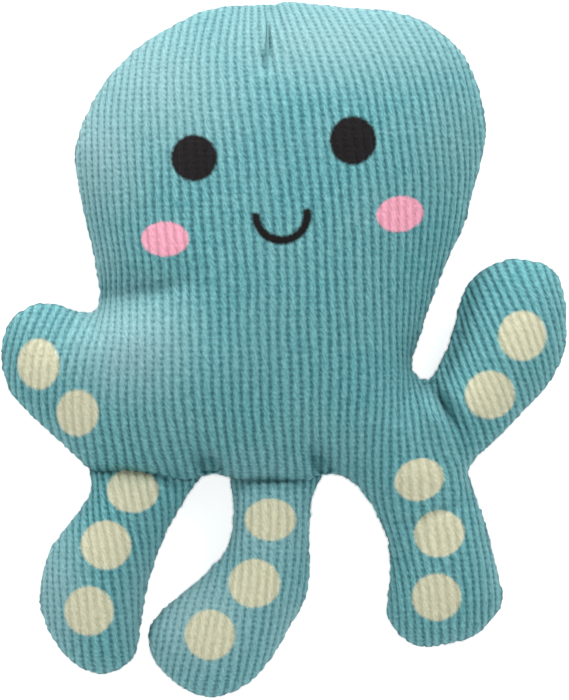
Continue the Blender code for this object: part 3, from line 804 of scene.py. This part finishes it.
class NodeBox:
    # Short ways to add and join nodes in one tree
    def __init__(self, tree):
        self.tree = tree

    def add(self, kind, inputs=None, **settings):
        node = self.tree.nodes.new(kind)
        for key, value in settings.items():
            setattr(node, key, value)
        for key, value in (inputs or {}).items():
            self.put(node.inputs[key], value)
        return node

    def put(self, socket, value):
        if hasattr(value, "is_output"):
            self.tree.links.new(value, socket)
        else:
            socket.default_value = value

    def math(self, operation, a, b=0.0, c=0.0, clamp=False):
        node = self.add("ShaderNodeMath", {0: a, 1: b, 2: c}, operation=operation, use_clamp=clamp)
        return node.outputs[0]

    def times(self, a, b, clamp=False):
        return self.math("MULTIPLY", a, b, clamp=clamp)

    def vector(self, operation, a, b=(0, 0, 0), output=0):
        return self.add("ShaderNodeVectorMath", {0: a, 1: b}, operation=operation).outputs[output]

    def mix(self, share, a, b, blend="MIX"):
        node = self.add("ShaderNodeMix", data_type="RGBA", blend_type=blend)
        self.put(node.inputs["Factor"], share)
        self.put(node.inputs["A"], a)
        self.put(node.inputs["B"], b)
        return node.outputs["Result"]

    def tint(self, colour, share, none, full):
        return self.mix(1.0, colour, self.mix(share, none, full), "MULTIPLY")

    def noise(self, where, scale, detail, roughness=0.5, output="Fac"):
        inputs = {"Vector": where, "Scale": scale, "Detail": detail, "Roughness": roughness}
        return self.add("ShaderNodeTexNoise", inputs).outputs[output]

    def turned(self, where, angle):
        return self.add("ShaderNodeVectorRotate", {"Vector": where, "Angle": angle},
                        rotation_type="Z_AXIS").outputs[0]

    def scaled(self, where, factor):
        node = self.add("ShaderNodeVectorMath", {0: where, "Scale": factor}, operation="SCALE")
        return node.outputs[0]

    def paint(self, shader, colour, height, bump):
        self.put(shader.inputs["Base Color"], colour)
        relief = self.add("ShaderNodeBump", {"Height": height, **bump})
        self.put(shader.inputs["Normal"], relief.outputs[0])

    def ramp(self, value, low, high, out0=0.0, out1=1.0):
        node = self.add("ShaderNodeMapRange", {0: value, 1: low, 2: high, 3: out0, 4: out1},
                        interpolation_type="SMOOTHSTEP")
        return node.outputs[0]


def newGroup(name, inputs, outputs):
    group = bpy.data.node_groups.new(name, "ShaderNodeTree")
    for label, value in inputs.items():
        kind = "NodeSocketVector" if isinstance(value, tuple) else "NodeSocketFloat"
        socket = group.interface.new_socket(name=label, in_out="INPUT", socket_type=kind)
        socket.default_value = value
    for label in outputs:
        group.interface.new_socket(name=label, in_out="OUTPUT", socket_type="NodeSocketFloat")
    box = NodeBox(group)
    return group, box, box.add("NodeGroupInput").outputs, box.add("NodeGroupOutput").inputs


weaveLook = {
    "unevenness": {"scale": (3.0, 1.3, 1), "detail": 2.0, "amount": 0.8},
    "pile": {"slant": 0.24, "scale": (4.6, 0.8, 1), "detail": 3.0, "roughness": 0.7},
    "hairs": {"slant": -0.40, "scale": (9.5, 2.4, 1), "detail": 2.0, "roughness": 0.6},
    "rowNotch": 0.10,
    "groove": (0.22, 0.92),
    "pit": (0.55, 0.95),
    "hairRange": (0.34, 0.66),
    "hairHeight": 0.35,
    "grooveDepth": 0.30,
}


def makeRibWeave():
    # From the rib map: how deep in a groove, a pit and a row, and the pile's slanting streaks
    look = weaveLook
    outputs = ["Groove", "Pit", "Row", "Streak", "Hairs", "Height"]
    group, box, given, out = newGroup("rib weave", {"Ribs": (0, 0, 0)}, outputs)
    across, along = box.add("ShaderNodeSeparateXYZ", {0: given["Ribs"]}).outputs[:2]

    def centred(share, amount, value):
        return box.math("MULTIPLY_ADD", box.math("SUBTRACT", share, 0.5), amount, value)

    def streaks(kind):
        slanted = box.math("MULTIPLY_ADD", along, kind["slant"], across)
        at = box.add("ShaderNodeCombineXYZ", {0: slanted, 1: along}).outputs[0]
        at = box.vector("MULTIPLY", at, kind["scale"])
        return box.noise(at, 1.0, kind["detail"], kind["roughness"])

    uneven = look["unevenness"]
    stray = box.noise(box.vector("MULTIPLY", given["Ribs"], uneven["scale"]), 1.0, uneven["detail"])
    wave = box.math("COSINE", box.times(along, 2 * math.pi))
    row = box.math("MULTIPLY_ADD", wave, 0.5, 0.5)
    saw = box.math("ABSOLUTE", box.math("MULTIPLY_ADD", box.math("FRACT", across), 2.0, -1.0))
    ragged = centred(row, look["rowNotch"], centred(stray, uneven["amount"], saw))
    groove = box.ramp(ragged, *look["groove"])
    fibres, hairs = streaks(look["pile"]), streaks(look["hairs"])
    box.put(out["Groove"], groove)
    box.put(out["Pit"], box.times(box.ramp(ragged, *look["pit"]), row))
    box.put(out["Row"], row)
    box.put(out["Streak"], fibres)
    box.put(out["Hairs"], box.ramp(hairs, *look["hairRange"]))
    raised = box.math("MULTIPLY_ADD", hairs, look["hairHeight"], fibres)
    lowered = box.times(groove, look["grooveDepth"])
    box.put(out["Height"], box.math("SUBTRACT", raised, lowered))
    return group


def makeSpot():
    # A soft-edged round print, as a mask over the plan
    inputs = {"Plan": (0, 0, 0), "Centre": (0, 0, 0), "Half size": (1, 1, 1), "Tilt": 0.0, "Edge": 0.05}
    group, box, given, out = newGroup("round print", inputs, ["Mask"])
    off = box.turned(box.vector("SUBTRACT", given["Plan"], given["Centre"]), given["Tilt"])
    size = box.vector("LENGTH", box.vector("DIVIDE", off, given["Half size"]), output="Value")
    low, high = (box.math(way, 1.0, given["Edge"]) for way in ("SUBTRACT", "ADD"))
    box.put(out["Mask"], box.ramp(size, low, high, 1.0, 0.0))
    return group


ribWeave = makeRibWeave()
roundPrint = makeSpot()


def planVector(x, y, z=0):
    # From photo pixels to the units of the map of the plan
    return (x / photo["height"], y / photo["height"], z)


def addRound(box, plan, mark, edge):
    # One round print's mask
    x, y, halfX, halfY, tilt = mark
    inputs = {"Plan": plan, "Centre": planVector(x, y), "Half size": planVector(halfX, halfY, 1),
              "Tilt": math.radians(tilt), "Edge": edge}
    return box.add("ShaderNodeGroup", inputs, node_tree=roundPrint).outputs["Mask"]


def addPrint(box, plan, colour, marks, ink, shade):
    # Lays round prints of one ink over a colour
    ink = box.mix(1.0, ink, shade, "MULTIPLY")
    for mark in marks:
        colour = box.mix(addRound(box, plan, mark, prints["edge"] / mark[2]), colour, ink)
    return colour


def addSmile(box, plan, colour):
    # The lower part of a ring, with round ends
    smile = prints["smile"]
    off = box.vector("SUBTRACT", plan, planVector(*smile["centre"]))
    off = box.scaled(box.turned(off, math.radians(smile["tilt"])), photo["height"])
    x, y = box.add("ShaderNodeSeparateXYZ", {0: off}).outputs[:2]
    ring = box.math("SUBTRACT", box.vector("LENGTH", off, output="Value"), smile["radius"])
    endX = box.math("SUBTRACT", box.math("ABSOLUTE", x), smile["radius"])
    ends = box.math("ADD", box.times(endX, endX), box.times(y, y))
    above = box.math("SUBTRACT", 1.0, box.math("GREATER_THAN", y, 0.0))
    far = box.math("MULTIPLY_ADD", above, smile["farOff"], box.math("ABSOLUTE", ring))
    near = box.math("MINIMUM", far, box.math("SQRT", ends))
    mask = box.ramp(near, smile["stroke"] - prints["edge"], smile["stroke"] + prints["edge"], 1.0, 0.0)
    return box.mix(mask, colour, prints["dark"])


def addPatches(box, plan, mask, places):
    # Broad soft patches of painted highlight, and of painted shade, from the list given
    for *place, share in places:
        patch = addRound(box, plan, (*place, 0), 1.0)
        mask = box.math("MAXIMUM", mask, box.times(patch, share))
    return mask


def newMaterial(name, sockets):
    material = bpy.data.materials.new(name)
    material.use_nodes = True
    shader = material.node_tree.nodes["Principled BSDF"]
    for key, value in sockets.items():
        shader.inputs[key].default_value = value
    return material, NodeBox(material.node_tree), shader


def makePlush(name, spots=(), face=False):
    material, box, shader = newMaterial(name, plush["sockets"])
    ribMap = box.add("ShaderNodeUVMap", uv_map="ribs").outputs[0]
    plan = box.add("ShaderNodeUVMap", uv_map="plan").outputs[0]
    weave = box.add("ShaderNodeGroup", {"Ribs": ribMap}, node_tree=ribWeave).outputs

    # Light ridges of streaky pile, grooves with pits in painted shade, random wear, and patches of
    # painted highlight and painted shade
    wear = plush["wear"]
    wearAndHighlight = box.ramp(box.noise(plan, wear["scale"], wear["detail"]), *wear["range"], 0.0, wear["most"])
    streak = box.ramp(weave["Streak"], *plush["streaks"])
    colour = box.mix(streak, plush["root"], plush["tip"])
    if spots or face:
        # Painted highlight: patches of pale tips where the lamps fall, over the random wear
        wearAndHighlight = addPatches(box, plan, wearAndHighlight, plush["paintedHighlightAt"])
        # Painted shade: broad patches pulled toward the root's darker colour
        colour = box.mix(addPatches(box, plan, 0.0, plush["paintedShadeAt"]), colour, plush["root"])
    colour = box.mix(wearAndHighlight, colour, plush["paleTipsAndHighlight"])
    colour = box.tint(colour, weave["Hairs"], *plush["hairs"])
    # Painted shade in grooves, pits and rows, lighter under the painted highlight
    kept = box.math("MULTIPLY_ADD", wearAndHighlight, plush["litGrooveFade"], 1.0)
    paintedGrooveShade = box.times(weave["Groove"], kept)
    colour = box.tint(colour, paintedGrooveShade, white, plush["groove"])
    pit = box.times(wearAndHighlight, plush["litPitShare"], clamp=True)
    pit = box.mix(pit, plush["pit"], plush["litPit"])
    colour = box.tint(colour, weave["Pit"], white, pit)
    colour = box.tint(colour, weave["Row"], white, plush["row"])
    # Painted sheen: paler colour where the surface turns away from the view
    facing = box.add("ShaderNodeLayerWeight", {"Blend": 0.5}).outputs["Facing"]
    turned = box.ramp(facing, plush["rimSheenStart"], 1.0, 0.0, plush["rimSheen"])
    colour = box.mix(turned, colour, plush["paleTipsAndHighlight"])
    if spots or face:
        # Ink dyes ridge and groove alike, so they shade less, and the pile carries its edge off
        wobble = box.noise(plan, *prints["strayNoise"], output="Color")
        shift = box.vector("SUBTRACT", wobble, (0.5, 0.5, 0.5))
        shift = box.scaled(shift, prints["stray"] / photo["height"])
        printPlan = box.vector("ADD", plan, shift)
        shade = box.mix(weave["Groove"], white, prints["groove"])
        shade = box.tint(shade, streak, *prints["streaks"])
        shade = box.tint(shade, weave["Hairs"], *prints["hairs"])
    if spots:
        colour = addPrint(box, printPlan, colour, spots, prints["cream"], shade)
    if face:
        colour = addPrint(box, printPlan, colour, prints["cheeks"], prints["pink"], shade)
        darkShade = box.mix(weave["Hairs"], *prints["darkHairs"])
        colour = addPrint(box, printPlan, colour, prints["eyes"], prints["dark"], darkShade)
        colour = addSmile(box, printPlan, colour)
    box.paint(shader, colour, weave["Height"], plush["bump"])
    return material


sewing = {
    "dark": (0.09, 0.26, 0.28, 1),
    "light": (0.16, 0.40, 0.42, 1),
    "plies": {"Scale": 900.0, "Distortion": 1.0},
    "sockets": {"Roughness": 0.6},
    "bump": {"Strength": 0.4, "Distance": 0.0002},
}


def makeThread():
    # Two-ply sewing thread
    material, box, shader = newMaterial("sewing thread", sewing["sockets"])
    where = box.add("ShaderNodeTexCoord").outputs["Object"]
    twist = box.add("ShaderNodeTexWave", {"Vector": where, **sewing["plies"]},
                    wave_type="BANDS", bands_direction="DIAGONAL").outputs["Fac"]
    box.paint(shader, box.mix(twist, sewing["dark"], sewing["light"]), twist, sewing["bump"])
    return material


# How far before and after its root each limb's bend runs; only the first is read, where the torso's
# fabric is parted among the limbs
bends = {
    "left_arm": (.008, .016),
    "right_arm": (.003, .020),
    "right_leg": (.003, .020),
    "left_leg": (.001, .020),
    "middle_leg": (.001, .020),
}
torsoLimbs = ("left_arm", "right_arm", "right_leg")


def regionOf(points):
    # Which body each place of the torso's fabric belongs to
    region = np.array(["body"] * len(points), object)
    reach = {limb: beyondRoot(limb, points) for limb in torsoLimbs}
    onLeg = (reach["right_leg"] > -parting["legFirst"]) & (reach["right_arm"] < reach["right_leg"])
    sides = {
        "left_arm": isAtLeftArm(points),
        "right_leg": toPixels(points)[:, 0] > parting["rightLegLeft"],
        "right_arm": isAtRightArm(points) & ~onLeg,
    }
    for limb, side in sides.items():
        region[side & (reach[limb] > -bends[limb][0] - parting["lead"])] = limb
    return region


def dressPiece(panel, chosen, body, side):
    material = materials[body if side == "front" else "back"]
    piece = addFabric(f"{body}_{side}_fabric", panel, chosen, material)
    if body == "body":
        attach(piece, "body")
    else:
        at, out = limbAxis(body)
        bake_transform(piece)
    replaced = [f"{body}_{side}_panel"]
    if side == "front":
        replaced.append(body + "_filling")
    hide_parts(*replaced)


materials = {"body": makePlush("printed plush face", face=True), "back": makePlush("plain plush")}
for limb, spots in prints["spots"].items():
    materials[limb] = makePlush("spotted plush " + limb.replace("_", " "), spots=spots)
print("materials made")

surfaces = [makeSurface(torso, torsoLimbs), makeSurface(leftLeg, ("left_leg",)),
            makeSurface(middleLeg, ("middle_leg",))]
print("forms swelled")
for surface in surfaces:
    for side in ("front", "back"):
        panel = makePanel(surface, side)
        centres = panel["flat"][panel["faces"]].mean(1)
        limbs = surface["limbs"]
        region = regionOf(centres) if limbs == torsoLimbs else np.array(limbs * len(centres), object)
        for body in sorted(set(region)):
            dressPiece(panel, region == body, body, side)
print("fabric made")

thread = makeThread()
for name, node in frame["nodes"].items():
    if name.endswith("thread"):
        node.data.materials.clear()
        node.data.materials.append(thread)


# Floor, lamps and camera
def makeFloor():
    mesh = bpy.data.meshes.new("studio floor")
    half = studio["floorHalf"]
    corners = [(-half, -half, 0), (half, -half, 0), (half, half, 0), (-half, half, 0)]
    mesh.from_pydata(corners, [], [(0, 1, 2, 3)])
    material, box, shader = newMaterial("studio floor", studio["floor"])
    seen = box.add("ShaderNodeLightPath").outputs
    mirrored = box.math("MAXIMUM", seen["Is Glossy Ray"], seen["Is Transmission Ray"])
    shown = box.math("MAXIMUM", seen["Is Camera Ray"], mirrored)
    box.put(shader.inputs["Emission Strength"], box.times(shown, studio["floorGlow"]))
    mesh.materials.append(material)
    addObject("studio_floor", mesh)


def makeLamp(name, place, power):
    lamp = bpy.data.lights.new(name, "AREA")
    lamp.shape = "DISK"
    lamp.size = studio["lampSize"]
    lamp.energy = power
    holder = addObject(name, lamp)
    holder.location = place
    way = Vector(studio["lampAim"]) - Vector(place)
    holder.rotation_euler = way.to_track_quat("-Z", "Y").to_euler()


def makeCamera():
    lens = bpy.data.cameras.new("camera")
    camera = addObject("camera", lens)
    camera.location = (*toWorld([photoMiddle])[0], seamHeight + studio["cameraHeight"])
    lens.sensor_fit = "AUTO"
    lens.sensor_width = studio["sensor"]
    lens.lens = lens.sensor_width * studio["cameraHeight"] / (photo["height"] * pixel)
    lens.clip_end = studio["farthest"]
    bpy.context.scene.camera = camera


def makeWorld():
    world = bpy.data.worlds.new("studio")
    bpy.context.scene.world = world
    world.use_nodes = True
    background = world.node_tree.nodes["Background"]
    background.inputs["Color"].default_value = white
    background.inputs["Strength"].default_value = studio["worldStrength"]


makeFloor()
for name, lamp in studio["lamps"].items():
    makeLamp(name, *lamp)
makeWorld()
makeCamera()
bpy.context.scene.view_settings.view_transform = "Standard"
print("studio set")
